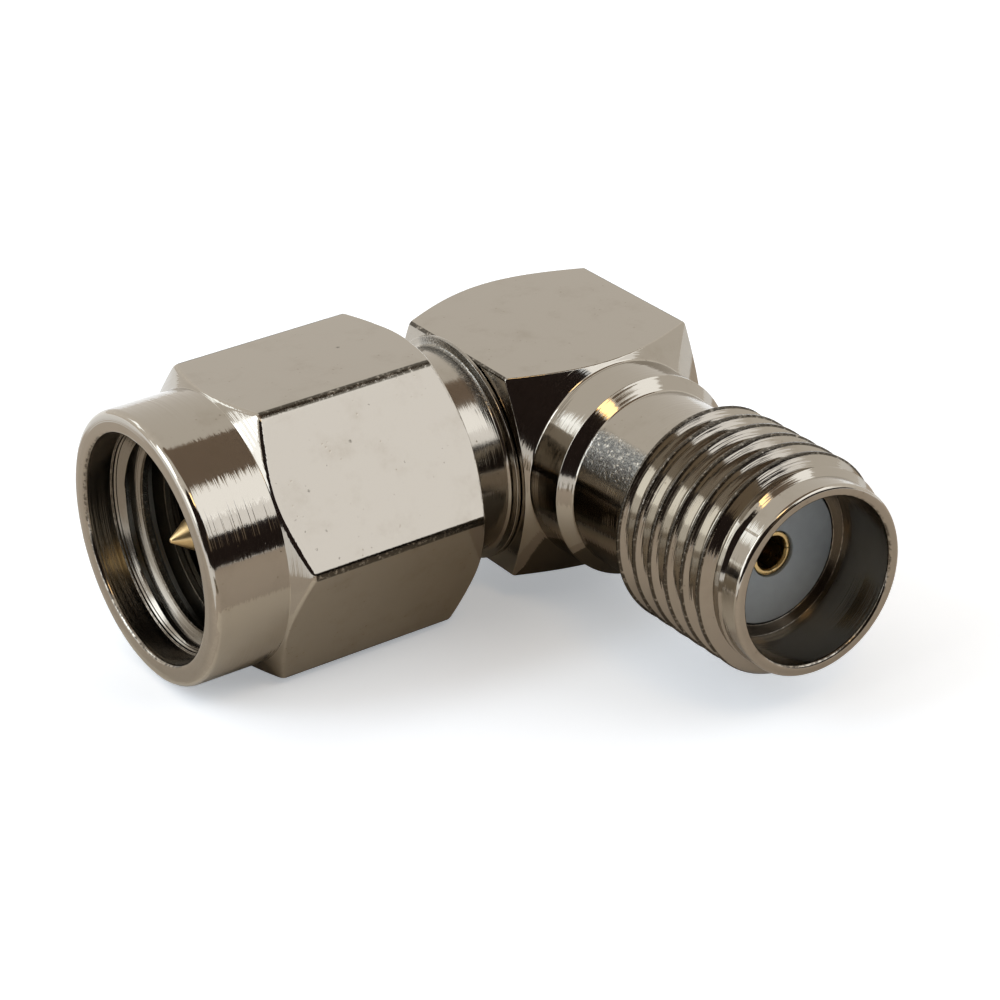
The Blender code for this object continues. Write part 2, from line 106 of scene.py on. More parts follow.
def plain(name, colour, glow):
    """A card's or table's matt finish, with a faint unevenness.

    A glow lifts an open white table to full white where it is seen, also in metal or glass. Half
    of it stays for the light that the table gives back.
    """
    made = bpy.data.materials.new(name)
    made.use_nodes = True
    tree = made.node_tree
    nodes = tree.nodes
    shader = nodes["Principled BSDF"]
    shader.inputs["Roughness"].default_value = 0.9
    shader.inputs["Specular IOR Level"].default_value = 0.0
    grain = nodes.new("ShaderNodeTexNoise")
    grain.inputs["Scale"].default_value = 30
    tone = nodes.new("ShaderNodeMixRGB")
    tone.inputs["Color1"].default_value = (*colour, 1)
    tone.inputs["Color2"].default_value = (*[part * 0.97 for part in colour], 1)
    wire(tree, grain, "Fac", tone, "Fac")
    wire(tree, tone, "Color", shader, "Base Color")
    if glow:
        path = nodes.new("ShaderNodeLightPath")
        seen = 0.5
        for ray in ("Is Camera Ray", "Is Glossy Ray", "Is Transmission Ray"):
            seen = number_node(tree, "MAXIMUM", (path, ray), seen)
        shader.inputs["Emission Color"].default_value = (0.92, 0.96, 1, 1)
        wire(tree, *number_node(tree, "MULTIPLY", seen, glow), shader, "Emission Strength")
    return made


def card(name, corners, colour, glow=0.0, seen=False):
    """A flat card on the set, given by its corners. A hidden card only shows in the metal."""
    mesh = bpy.data.meshes.new(name)
    mesh.from_pydata([Vector(corner) * MM for corner in corners], [],
                     [(n, n + 1, n + 3, n + 2) for n in range(0, len(corners) - 2, 2)])
    mesh.materials.append(plain(name, colour, glow))
    made = bpy.data.objects.new(name, mesh)
    scene.collection.objects.link(made)
    made.visible_camera = seen
    return made


AXIS_HEIGHT = 3.1


def soft_box(name, azimuth, elevation, distance, width, height, level, colour):
    """A rectangular soft box that faces the adapter, as bright as its level says."""
    data = bpy.data.lights.new(name, "AREA")
    data.shape = "RECTANGLE"
    data.size, data.size_y = width * MM, height * MM
    data.energy = level * math.pi * data.size * data.size_y
    data.color = colour
    made = bpy.data.objects.new(name, data)
    scene.collection.objects.link(made)
    azimuth, elevation = math.radians(azimuth), math.radians(elevation)
    away = Vector((math.cos(azimuth) * math.cos(elevation),
                   math.sin(azimuth) * math.cos(elevation), math.sin(elevation)))
    made.location = away * distance * MM + Vector((0, 0, AXIS_HEIGHT * MM))
    made.rotation_euler = away.to_track_quat("Z", "Y").to_euler()
    made.visible_camera = False


table_height = solid_low.z / MM
card("table", [(-900, -900, table_height), (900, -900, table_height), (-900, 900, table_height),
               (900, 900, table_height)], (0.915, 0.935, 0.965), glow=0.36, seen=True)
near_black, wall_foot = (0.03, 0.022, 0.02), table_height + 0.5
for name, distance, foot, posts, colour in (
        ("low_wall", 220, wall_foot,
         ((-40, 20), (-44, 50), (-50, 66), (-55, 80), (-58, 90), (-74, 91)), near_black),
        ("tall_screen", 220, wall_foot,
         ((-73, 215), (-88, 215), (-98, 238), (-112, 265), (-125, 300), (-150, 285), (-168, 60)),
         near_black),
        ("brown_panel", 216, 55, ((-73, 118), (-84, 112), (-94, 104)), (0.24, 0.19, 0.135))):
    corners = []
    for turn, top in posts:
        for rise in (foot, top):
            corners.append((distance * math.cos(math.radians(turn)),
                            distance * math.sin(math.radians(turn)), rise))
    card(name, corners, colour)
card("brown_ceiling", [(12, -131, 200), (155, -55, 200), (-90, 45, 200), (170, 45, 200)],
     (0.3, 0.23, 0.175))
for name, lift, corners, colour in (
        ("front_mat", 0.02, ((-60, -200), (60, -200), (-16, 9), (40, 9)), (0.72, 0.65, 0.575)),
        ("nut_mat", 0.03, ((-16, -9), (-3.5, -9), (-16, 3), (-3.5, 3)), (0.93, 0.87, 0.77)),
        # The dark mat under the block is painted shade, for the table's shade under the adapter.
        ("block_shade_mat", 0.03, ((-3, -9), (7, -9), (-3, 9), (7, 9)), (0.2, 0.17, 0.13)),
        ("side_mat", 0.03, ((-34, -27), (-28, -33), (-18, -15), (-14, -18)), (0.26, 0.22, 0.17)),
        ("left_mat", 0.03, ((-32, -6), (-13.6, -6), (-32, 18), (-13.6, 18)), (0.75, 0.69, 0.62))):
    mat = card(name, [(x, y, table_height + lift) for x, y in corners], colour)
    mat.visible_diffuse = mat.visible_shadow = False
soft_box("front_box", -54, 26, 260, 165, 88, 0.85, (0.8, 0.88, 1))
soft_box("upper_front_box", -50, 45.5, 261, 195, 95, 1.34, (0.82, 0.9, 1))
soft_box("left_box", 168, 15, 260, 230, 80, 2.0, (0.78, 0.88, 1))
soft_box("high_left_box", 162, 37, 262, 90, 130, 4.6, (0.76, 0.87, 1))
soft_box("back_box", 122, 31, 260, 80, 70, 1.9, (0.76, 0.88, 1))
soft_box("warm_lamp", -101, 54, 250, 50, 46, 4.5, (1, 0.62, 0.2))

# Block with the jack, from one square brass bar: the corners are turned off at both ends, the
# boss, neck and threaded end are turned, and it is bored through. Bright nickel plate.


def laid(port, radius, angle, height):
    """A point of a port's upright frame, in the adapter's own place, in metres."""
    across, over = radius * math.cos(angle), radius * math.sin(angle)
    if port == "jack":
        return Vector((across, -height, AXIS_HEIGHT + over)) * MM
    return Vector((-height, over, AXIS_HEIGHT + across)) * MM


def rounded(corners):
    """A closed outline of (radius, height, rounding) corners as (radius, height, edge) points.

    The edge value is 1 in the middle of a rounded corner and 0 where it meets its faces.
    """
    steps, points = 4, []
    for place, (radius, height, rounding) in enumerate(corners):
        if not rounding:
            points.append((radius, height, 0.0))
            continue
        corner = Vector((radius, height))
        back = Vector(corners[place - 1][:2]) - corner
        ahead = Vector(corners[(place + 1) % len(corners)][:2]) - corner
        reach = 0.45 * min(back.length, ahead.length)
        back.normalize()
        ahead.normalize()
        half = back.angle(ahead) / 2
        run = min(rounding / math.tan(half), reach)
        centre = (back + ahead).normalized() * (run / math.cos(half))
        first, last = back * run - centre, ahead * run - centre
        begin = math.atan2(first.y, first.x)
        sweep = (math.atan2(last.y, last.x) - begin + math.pi) % math.tau - math.pi
        for step in range(steps + 1):
            angle = begin + sweep * step / steps
            point = corner + centre + Vector((math.cos(angle), math.sin(angle))) * first.length
            points.append((point.x, point.y, 1 - abs(2 * step / steps - 1)))
    return points


def bar_columns(sides, across_flats, edge, turn, flat_steps):
    """(angle, distance, burr) of points round a bar with flat sides and rounded long edges.

    The burr value is 1 in the middle of a long edge and 0 on the flats.
    """
    half, flat, edge_steps = math.pi / sides, across_flats / 2, 6
    reach = math.atan((flat - edge) * math.tan(half) / flat)
    columns = []
    for side in range(sides):
        middle = turn + 2 * half * side
        for step in range(flat_steps + 1):
            lean = reach * (2 * step / flat_steps - 1)
            columns.append((middle + lean, flat / math.cos(lean), 0.0))
        core = (flat - edge) / math.cos(half)
        for step in range(1, edge_steps):
            lean = middle + 2 * half * step / edge_steps
            point = Vector((core * math.cos(middle + half) + edge * math.cos(lean),
                            core * math.sin(middle + half) + edge * math.sin(lean)))
            angle = math.atan2(point.y, point.x)
            columns.append((angle + math.tau * round((middle + half - angle) / math.tau),
                            point.length, 1 - abs(2 * step / edge_steps - 1)))
    return columns


def round_columns(count=144):
    """(angle, distance, burr) of points round a turned piece, which nothing limits."""
    unlimited = 99
    return [(math.tau * number / count, unlimited, 0.0) for number in range(count)]


def spun(port, columns, corners_at):
    """A closed mesh of the outlines that corners_at gives for each column's distance.

    Its attributes say where it is a rounded edge, a flat of the drawn bar, and a burred long edge.
    """
    bm = bmesh.new()
    edge_layer = bm.verts.layers.float.new("edge")
    flat_layer = bm.verts.layers.float.new("flat")
    burr_layer = bm.verts.layers.float.new("burr")
    rows = []
    for angle, distance, burr in columns:
        row = []
        for radius, height, edge in rounded(corners_at(distance)):
            vert = bm.verts.new(laid(port, radius, angle, height))
            vert[edge_layer] = edge
            vert[flat_layer] = float(abs(radius - distance) < 0.001)
            vert[burr_layer] = burr * vert[flat_layer]
            row.append(vert)
        rows.append(row)
    for number, row in enumerate(rows):
        beside = rows[(number + 1) % len(rows)]
        for place in range(len(row)):
            after = (place + 1) % len(row)
            bm.faces.new((row[place], row[after], beside[after], beside[place]))
    bmesh.ops.remove_doubles(bm, verts=bm.verts, dist=2e-8)
    bmesh.ops.recalc_face_normals(bm, faces=bm.faces)
    return bm


def mesh_object(name, bm):
    """The bmesh as an object in the scene."""
    mesh = bpy.data.meshes.new(name)
    bm.to_mesh(mesh)
    bm.free()
    made = bpy.data.objects.new(name, mesh)
    scene.collection.objects.link(made)
    return made


def baked(piece):
    """The piece's modifiers made permanent."""
    depsgraph = bpy.context.evaluated_depsgraph_get()
    mesh = bpy.data.meshes.new_from_object(piece.evaluated_get(depsgraph),
                                           preserve_all_data_layers=True, depsgraph=depsgraph)
    piece.modifiers.clear()
    piece.data = mesh
    mesh.name = piece.name
    return piece


def finish_piece(piece, finish, body, node):
    """Smooth the piece with true flats, give it its finish, and let it stand for its solid."""
    piece.data.materials.clear()
    piece.data.materials.append(finish)
    piece.data.shade_smooth()
    piece.data.set_sharp_from_angle(angle=math.radians(38))
    weigh = piece.modifiers.new("true_flats", "WEIGHTED_NORMAL")
    weigh.mode = "FACE_AREA_WITH_ANGLE"
    weigh.weight = 80
    weigh.keep_sharp = True
    baked(piece)
    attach(piece, body)
    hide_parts(node)


def thread_tree():
    """Geometry Nodes for one helical ridge about Z, cut off at both ends of the thread."""
    tree = bpy.data.node_groups.new("cut_thread", "GeometryNodeTree")
    sockets = tree.interface
    sockets.new_socket("Geometry", in_out="OUTPUT", socket_type="NodeSocketGeometry")
    named = ["Pitch", "Turns", "Crest Radius", "Depth", "Crest Width", "Base Width", "Low End",
             "High End", "Low Radius", "High Radius", "Low Slope", "High Slope", "Start Angle",
             "Start Height", "Side", "Edge Round"]
    for name in named:
        sockets.new_socket(name, in_out="INPUT", socket_type="NodeSocketFloat")
    sockets.new_socket("Steps", in_out="INPUT", socket_type="NodeSocketInt")
    sockets.new_socket("Finish", in_out="INPUT", socket_type="NodeSocketMaterial")
    nodes = tree.nodes
    given = nodes.new("NodeGroupInput")

    def math_node(kind, first, second=None):
        return number_node(tree, kind, first, second)

    # The path of the crest.
    spiral = nodes.new("GeometryNodeCurveSpiral")
    wire(tree, given, "Steps", spiral, "Resolution")
    wire(tree, given, "Turns", spiral, "Rotations")
    wire(tree, given, "Crest Radius", spiral, "Start Radius")
    wire(tree, given, "Crest Radius", spiral, "End Radius")
    wire(tree, *math_node("MULTIPLY", (given, "Pitch"), (given, "Turns")), spiral, "Height")
    spiral.inputs["Reverse"].default_value = True
    upright = nodes.new("GeometryNodeSetCurveNormal")
    upright.mode = "Z_UP"
    wire(tree, spiral, 0, upright, "Curve")

    # The ridge's section, with softened corners, its crest on the path and its side to the axis or
    # away from it.
    ridge = nodes.new("GeometryNodeCurvePrimitiveQuadrilateral")
    ridge.mode = "TRAPEZOID"
    wire(tree, given, "Base Width", ridge, "Bottom Width")
    wire(tree, given, "Crest Width", ridge, "Top Width")
    wire(tree, given, "Depth", ridge, "Height")
    ridge.inputs["Offset"].default_value = 0
    points = nodes.new("GeometryNodeSubdivideCurve")
    points.inputs["Cuts"].default_value = 5
    wire(tree, ridge, 0, points, "Curve")
    soften = nodes.new("GeometryNodeFilletCurve")
    soften.mode = "POLY"
    soften.inputs["Count"].default_value = 3
    soften.inputs["Limit Radius"].default_value = True
    wire(tree, points, 0, soften, "Curve")
    wire(tree, given, "Edge Round", soften, "Radius")
    shift = nodes.new("ShaderNodeCombineXYZ")
    wire(tree, *math_node("MULTIPLY", (given, "Depth"), -0.5), shift, "Y")
    stand = nodes.new("GeometryNodeTransform")
    wire(tree, soften, 0, stand, "Geometry")
    wire(tree, shift, 0, stand, "Translation")
    face = nodes.new("GeometryNodeTransform")
    wire(tree, stand, 0, face, "Geometry")
    scale = nodes.new("ShaderNodeCombineXYZ")
    scale.inputs["X"].default_value = 1
    scale.inputs["Z"].default_value = 1
    wire(tree, given, "Side", scale, "Y")
    wire(tree, scale, 0, face, "Scale")
    turn = nodes.new("GeometryNodeTransform")
    turn.inputs["Rotation"].default_value = (0, 0, math.radians(-90))
    wire(tree, face, 0, turn, "Geometry")

    # The ridge, at its own height and turn.
    sweep = nodes.new("GeometryNodeCurveToMesh")
    sweep.inputs["Fill Caps"].default_value = True
    wire(tree, upright, 0, sweep, "Curve")
    wire(tree, turn, 0, sweep, "Profile Curve")
    place = nodes.new("GeometryNodeTransform")
    wire(tree, sweep, 0, place, "Geometry")
    rise = nodes.new("ShaderNodeCombineXYZ")
    wire(tree, given, "Start Height", rise, "Z")
    wire(tree, rise, 0, place, "Translation")
    phase = nodes.new("ShaderNodeCombineXYZ")
    wire(tree, given, "Start Angle", phase, "Z")
    wire(tree, phase, 0, place, "Rotation")

    # Each point pressed between the two ends, and back to the cones that run out there.
    here = nodes.new("GeometryNodeInputPosition")
    parts = nodes.new("ShaderNodeSeparateXYZ")
    wire(tree, here, 0, parts, 0)
    flat = nodes.new("ShaderNodeCombineXYZ")
    wire(tree, parts, "X", flat, "X")
    wire(tree, parts, "Y", flat, "Y")
    length = nodes.new("ShaderNodeVectorMath")
    length.operation = "LENGTH"
    wire(tree, flat, 0, length, 0)
    height = math_node("MINIMUM", math_node("MAXIMUM", (parts, "Z"), (given, "Low End")),
                       (given, "High End"))
    from_low = math_node("MULTIPLY", math_node("SUBTRACT", height, (given, "Low End")),
                         (given, "Low Slope"))
    from_high = math_node("MULTIPLY", math_node("SUBTRACT", (given, "High End"), height),
                          (given, "High Slope"))
    low_limit = math_node("ADD", math_node("MULTIPLY", (given, "Low Radius"), (given, "Side")),
                          from_low)
    high_limit = math_node("ADD", math_node("MULTIPLY", (given, "High Radius"), (given, "Side")),
                           from_high)
    own = math_node("MULTIPLY", (length, "Value"), (given, "Side"))
    least = math_node("MINIMUM", own, math_node("MINIMUM", low_limit, high_limit))
    radius = math_node("MULTIPLY", least, (given, "Side"))
    unit = nodes.new("ShaderNodeVectorMath")
    unit.operation = "NORMALIZE"
    wire(tree, flat, 0, unit, 0)
    out = nodes.new("ShaderNodeVectorMath")
    out.operation = "SCALE"
    wire(tree, unit, 0, out, 0)
    wire(tree, *radius, out, "Scale")
    stack = nodes.new("ShaderNodeCombineXYZ")
    wire(tree, *height, stack, "Z")
    added = nodes.new("ShaderNodeVectorMath")
    added.operation = "ADD"
    wire(tree, out, 0, added, 0)
    wire(tree, stack, 0, added, 1)
    pressed = nodes.new("GeometryNodeSetPosition")
    wire(tree, place, 0, pressed, "Geometry")
    wire(tree, added, 0, pressed, "Position")

    # The crest's own attribute, for its burr.
    worn = nodes.new("ShaderNodeMapRange")
    wire(tree, *math_node("SUBTRACT", math_node("MULTIPLY", (given, "Crest Radius"),
                                                (given, "Side")), own), worn, "Value")
    worn.inputs["From Min"].default_value = 0.035
    worn.inputs["From Max"].default_value = 0.01
    mark = nodes.new("GeometryNodeStoreNamedAttribute")
    mark.data_type = "FLOAT"
    mark.domain = "POINT"
    mark.inputs["Name"].default_value = "burr"
    wire(tree, pressed, 0, mark, "Geometry")
    wire(tree, worn, 0, mark, "Value")

    # Doubles merged, and the thread's finish.
    merge = nodes.new("GeometryNodeMergeByDistance")
    merge.inputs["Distance"].default_value = 0.0001
    wire(tree, mark, 0, merge, "Geometry")
    real = nodes.new("GeometryNodeRealizeInstances")
    wire(tree, merge, 0, real, 0)
    paint = nodes.new("GeometryNodeSetMaterial")
    wire(tree, real, 0, paint, "Geometry")
    wire(tree, given, "Finish", paint, "Material")
    result = nodes.new("NodeGroupOutput")
    wire(tree, paint, 0, result, 0)
    return tree


CUT_THREAD = thread_tree()


def thread_mesh(port, finish, sizes):
    """The ridge that the thread tree makes with these sizes, laid down along its port."""
    holder = bpy.data.objects.new("thread", bpy.data.meshes.new("thread"))
    scene.collection.objects.link(holder)
    made = holder.modifiers.new("cut_thread", "NODES")
    made.node_group = CUT_THREAD
    for item in CUT_THREAD.interface.items_tree:
        if item.in_out == "INPUT":
            made[item.identifier] = finish if item.name == "Finish" else sizes[item.name]
    baked(holder)
    mesh = holder.data
    bpy.data.objects.remove(holder)
    for vert in mesh.vertices:
        x, y, height = vert.co
        vert.co = laid(port, math.hypot(x, y), math.atan2(y, x), height)
    bm = bmesh.new()
    bm.from_mesh(mesh)
    bmesh.ops.recalc_face_normals(bm, faces=bm.faces)
    bm.to_mesh(mesh)
    bm.free()
    return mesh


def plate(name, port, colour, stain, roughness, ring_depth, pit_depth, bore=0.0, deep=0.0,
          nicks=(), rough_patch=None):
    """Plated metal with turning rings about a port's axis, small pits, stains and worn edges.

    The rounded edges are lighter, rubbed wear with a painted highlight. Inside a bore of the
    radius given, the plate is rougher, and darker and browner as painted shade in the recess; the
    painted shade is darker still below the deep height. Nicks are (angle, height, radius, size) of
    small dents, and the rough patch is (low, high, from angle, to angle).
    """
    made = bpy.data.materials.new(name)
    made.use_nodes = True
    tree = made.node_tree
    nodes = tree.nodes
    shader = nodes["Principled BSDF"]
    shader.inputs["Metallic"].default_value = 1.0

    def math_node(kind, first, second=None, clamp=False):
        return number_node(tree, kind, first, second, clamp)

    def ramp(value, low, high):
        made_ramp = nodes.new("ShaderNodeMapRange")
        made_ramp.interpolation_type = "SMOOTHSTEP"
        made_ramp.inputs["From Min"].default_value = low
        made_ramp.inputs["From Max"].default_value = high
        wire(tree, *value, made_ramp, "Value")
        return made_ramp, 0

    def noise(vector, scale, detail, roughness, dimensions="3D"):
        made_noise = nodes.new("ShaderNodeTexNoise")
        made_noise.noise_dimensions = dimensions
        made_noise.inputs["Scale"].default_value = scale
        made_noise.inputs["Detail"].default_value = detail
        made_noise.inputs["Roughness"].default_value = roughness
        wire(tree, vector, 0, made_noise, "Vector")
        return made_noise, "Fac"

    def attribute(attribute_name):
        made_attribute = nodes.new("ShaderNodeAttribute")
        made_attribute.attribute_name = attribute_name
        return made_attribute, "Fac"

    def mixed(first, second, share):
        made_mix = nodes.new("ShaderNodeMixRGB")
        for socket, part in (("Color1", first), ("Color2", second)):
            if hasattr(part[0], "outputs"):
                wire(tree, *part, made_mix, socket)
            else:
                made_mix.inputs[socket].default_value = (*part, 1)
        wire(tree, *share, made_mix, "Fac")
        return made_mix, 0

    def stained(shown, darkness, place, share):
        return mixed(shown, [part * darkness for part in stain],
                     math_node("MULTIPLY", place, share))

    def bump(height, depth, before=None):
        made_bump = nodes.new("ShaderNodeBump")
        made_bump.inputs["Distance"].default_value = depth
        wire(tree, *height, made_bump, "Height")
        if before:
            wire(tree, *before, made_bump, "Normal")
        return made_bump, 0

    # The port's upright frame, in millimetres.
    spot = nodes.new("ShaderNodeTexCoord")
    local = nodes.new("ShaderNodeMapping")
    local.inputs["Scale"].default_value = (1 / MM, 1 / MM, 1 / MM)
    if port == "jack":
        local.inputs["Rotation"].default_value = (-math.pi / 2, 0, 0)
        local.inputs["Location"].default_value = (0, -AXIS_HEIGHT, 0)
    else:
        local.inputs["Rotation"].default_value = (0, math.pi / 2, 0)
        local.inputs["Location"].default_value = (-AXIS_HEIGHT, 0, 0)
    wire(tree, spot, "Object", local, "Vector")
    parts = nodes.new("ShaderNodeSeparateXYZ")
    wire(tree, local, 0, parts, 0)
    radius = math_node("SQRT", math_node("ADD", math_node("MULTIPLY", (parts, 0), (parts, 0)),
                                         math_node("MULTIPLY", (parts, 1), (parts, 1))))
    along = nodes.new("ShaderNodeCombineXYZ")
    wire(tree, *radius, along, "X")
    wire(tree, parts, "Z", along, "Y")

    # The patterns: turning rings, clouds, two grains and scattered pits.
    rings = noise(along, 9, 2, 0.6, "2D")
    cloud = noise(local, 0.9, 6, 0.62)
    grain = noise(local, 9, 3, 0.5)
    fine = noise(local, 26, 2, 0.5)
    cells = nodes.new("ShaderNodeTexVoronoi")
    cells.inputs["Scale"].default_value = 4.2
    wire(tree, local, 0, cells, "Vector")
    pit_size = math_node("MULTIPLY", ramp(cloud, 0.4, 0.66), 0.17)
    pits = math_node("DIVIDE", (cells, "Distance"), math_node("ADD", pit_size, 0.02), clamp=True)

    # Where the mesh says that it is an edge, turned, or a burred long edge.
    edge = attribute("edge")
    turned = math_node("SUBTRACT", 1.0, attribute("flat"), clamp=True)
    rubbed_and_highlight = math_node("MULTIPLY", edge, grain, clamp=True)
    burr = attribute("burr")
    ragged = math_node("MULTIPLY", ramp(burr, 0.02, 0.35), ramp(grain, 0.2, 0.5))

    # Stains in clouds, lighter rounded edges that are rubbed wear with a painted highlight, dark
    # ragged burrs and dark pits.
    shown = mixed(colour, stain, math_node("MULTIPLY", ramp(cloud, 0.48, 0.85), 0.3))
    shown = mixed(shown, [min(1, part * 1.3) for part in colour], rubbed_and_highlight)
    shown = stained(shown, 0.2, ragged, 0.9)
    shown = stained(shown, 1, math_node("SUBTRACT", 1.0, pits), 0.7)
    rough = math_node("ADD", roughness, math_node("MULTIPLY", cloud, 0.07))
    rough = math_node("ADD", rough, math_node("MULTIPLY", rings, 0.03))
    if bore:
        # Painted shade in the front part of the bore, darker and browner, where the plate is also
        # rougher, with chips along its rims.
        unshaded_below, shaded_and_dull_above = 6, 8
        inside = math_node("MULTIPLY", ramp(radius, bore + 0.06, bore - 0.02),
                           ramp((parts, "Z"), unshaded_below, shaded_and_dull_above))
        shown = stained(shown, 0.5, inside, 0.45)
        rough = math_node("ADD", rough, math_node("MULTIPLY", inside, 0.12))
        chipped = math_node("MULTIPLY", math_node("MULTIPLY", edge, ramp(grain, 0.4, 0.6)),
                            ramp(radius, bore + 0.11, bore + 0.04))
        shown = stained(shown, 0.15, chipped, 0.85)
        if deep:
            # Painted shade: darker still deeper in the bore, below the deep height.
            dark = math_node("MULTIPLY", inside, ramp((parts, "Z"), deep, deep - 0.5))
            shown = stained(shown, 0.3, dark, 0.75)
    marks = bump(math_node("MULTIPLY", rings, turned), ring_depth)
    marks = bump(pits, pit_depth, marks)
    marks = bump(grain, 7e-7, marks)
    marks = bump(math_node("MULTIPLY", fine, burr), 1.2e-5, marks)
    if rough_patch:
        # Grey and dull inside its window, with faded ends and dark blotches.
        low, high, begin, end = rough_patch
        fade = 7
        turn = math_node("ARCTAN2", (parts, 1), (parts, 0))
        window = math_node("MULTIPLY", ramp((parts, "Z"), low, low + 0.3),
                           ramp((parts, "Z"), high, high - 0.25))
        around = math_node("MULTIPLY",
                           ramp(turn, math.radians(begin), math.radians(begin + fade)),
                           ramp(turn, math.radians(end), math.radians(end - fade)))
        patch = math_node("MULTIPLY", math_node("MULTIPLY", window, around),
                          ramp(grain, 0.25, 0.5))
        rough = math_node("ADD", rough, math_node("MULTIPLY", patch, 0.1))
        shown = mixed(shown, (0.16, 0.155, 0.142), math_node("MULTIPLY", patch, 0.85))
        blotch = math_node("MULTIPLY", patch, ramp(fine, 0.45, 0.58))
        shown = mixed(shown, (0.05, 0.05, 0.048), math_node("MULTIPLY", blotch, 0.75))
        marks = bump(math_node("MULTIPLY", patch, fine), 1e-5, marks)
    for angle, height, distance, size in nicks:
        # A small dark dent with an uneven outline.
        turn = math.radians(angle)
        away = nodes.new("ShaderNodeVectorMath")
        away.operation = "DISTANCE"
        wire(tree, local, 0, away, 0)
        away.inputs[1].default_value = (distance * math.cos(turn), distance * math.sin(turn),
                                        height)
        dent = ramp(math_node("ADD", (away, "Value"), math_node("MULTIPLY", fine, 0.11)),
                    size + 0.03, size * 0.5 + 0.02)
        shown = stained(shown, 0.25, dent, 0.65)
    wire(tree, *shown, shader, "Base Color")
    wire(tree, *rough, shader, "Roughness")
    wire(tree, *marks, shader, "Normal")
    return made


PITCH, FLANK_ANGLE, THREAD_RADIUS, THREAD_DEPTH, THREAD_CREST = 25.4 / 36, 30, 3.13, 0.39, 0.13
BLOCK_FRONT, BLOCK_REAR, BLOCK_WIDTH, REAR_SLOPE, FRONT_SLOPE = 3.54, 3.3, 6.2, 36, 33
BOSS_RADIUS, BOSS_END, NECK_RADIUS = 2.97, 4.81, 2.63
LEAD_RADIUS, JACK_END, THREAD_LOW, THREAD_HIGH = 2.74, 12.61, 7.45, 12.0
MOUTH_RADIUS, SEAT_HEIGHT, DIELECTRIC_RADIUS = 2.4, 10.65, 2.05
CAP_HOLE, CAP_FLOOR = 2.33, -2.7
NICKEL, NICKEL_STAIN = (0.367, 0.333, 0.284), (0.2, 0.16, 0.11)
block_nickel = plate("block_nickel", "jack", NICKEL, NICKEL_STAIN, 0.035, 5e-6, 1.2e-6,
                     bore=MOUTH_RADIUS, rough_patch=(4.95, 7.4, 125, 158))


def block_corners(limit):
    """The block's and jack's outline where the square bar ends at this distance."""
    rear_rim = CAP_HOLE + 0.55
    return [
        (CAP_HOLE, -BLOCK_REAR, 0.02),
        (rear_rim, -BLOCK_REAR, 0.08),
        (limit, -BLOCK_REAR + (limit - rear_rim) * math.tan(math.radians(REAR_SLOPE)), 0.07),
        (limit, BLOCK_FRONT - (limit - BOSS_RADIUS) * math.tan(math.radians(FRONT_SLOPE)), 0.07),
        (BOSS_RADIUS, BLOCK_FRONT, 0.12),
        (BOSS_RADIUS, BOSS_END - 0.03, 0.03),
        (NECK_RADIUS, BOSS_END + 0.3, 0.12),
        (NECK_RADIUS, THREAD_LOW, 0.03),
        (LEAD_RADIUS, THREAD_LOW + 0.05, 0.02),
        (LEAD_RADIUS, JACK_END, 0.13),
        (MOUTH_RADIUS, JACK_END, 0.11),
        (MOUTH_RADIUS, SEAT_HEIGHT, 0.03),
        (DIELECTRIC_RADIUS, SEAT_HEIGHT, 0.03),
        (DIELECTRIC_RADIUS, CAP_FLOOR, 0),
        (CAP_HOLE, CAP_FLOOR, 0),
    ]


def cut(piece, tool, use_self=False):
    """The piece with the tool's shape cut out of it; the tool goes."""
    taken = piece.modifiers.new(tool.name, "BOOLEAN")
    taken.object = tool
    taken.solver = "EXACT"
    taken.use_self = use_self
    baked(piece)
    bpy.data.objects.remove(tool)


def add_thread(piece, port, finish, sizes):
    """The piece with a thread of these sizes joined to its mesh."""
    whole = bmesh.new()
    whole.from_mesh(piece.data)
    whole.from_mesh(thread_mesh(port, finish, {
        "Pitch": PITCH, "Turns": 9.0, "Low Slope": 2.5, "Start Angle": 0.0, "Edge Round": 0.03,
        "Steps": 100, **sizes}))
    whole.to_mesh(piece.data)
    whole.free()


BLOCK_EDGE, BLOCK_TURN, BLOCK_STEPS = 0.1, 0, 34
block_columns = bar_columns(4, BLOCK_WIDTH, BLOCK_EDGE, BLOCK_TURN, BLOCK_STEPS)
block = mesh_object("block_and_jack", spun("jack", block_columns, block_corners))
SEAT_BORE, SEAT_RADIUS, SEAT_FLOOR, SEAT_PAST = 1.5, 2.63, 2.22, 4
seat_corners = [(0, 0, 0), (SEAT_BORE, 0, 0), (SEAT_BORE, SEAT_FLOOR, 0),
                (SEAT_RADIUS, SEAT_FLOOR, 0), (SEAT_RADIUS, SEAT_PAST, 0), (0, SEAT_PAST, 0)]
cut(block, mesh_object("plug_seat", spun("plug", round_columns(72), lambda limit: seat_corners)))
CREST_WIDTH, STEEP_ANGLE, FOOT_EXTRA, OVERLAP, PHASE = 0.07, 28.8, 0.035, 0.03, 0.66
flank = THREAD_DEPTH * math.tan(math.radians(FLANK_ANGLE))
steep_flank = THREAD_DEPTH * math.tan(math.radians(STEEP_ANGLE))
add_thread(block, "jack", block_nickel, {
    "Crest Radius": THREAD_RADIUS, "Depth": THREAD_DEPTH + OVERLAP, "Crest Width": CREST_WIDTH,
    "Base Width": CREST_WIDTH + 2 * steep_flank + FOOT_EXTRA, "Low End": THREAD_LOW,
    "High End": THREAD_HIGH, "Low Radius": NECK_RADIUS - OVERLAP,
    "High Radius": LEAD_RADIUS - OVERLAP, "High Slope": 0.8,
    "Start Height": THREAD_LOW + PITCH * (PHASE - 2) + flank + THREAD_CREST / 2, "Side": 1.0})
finish_piece(block, block_nickel, "adapter", "body_block")

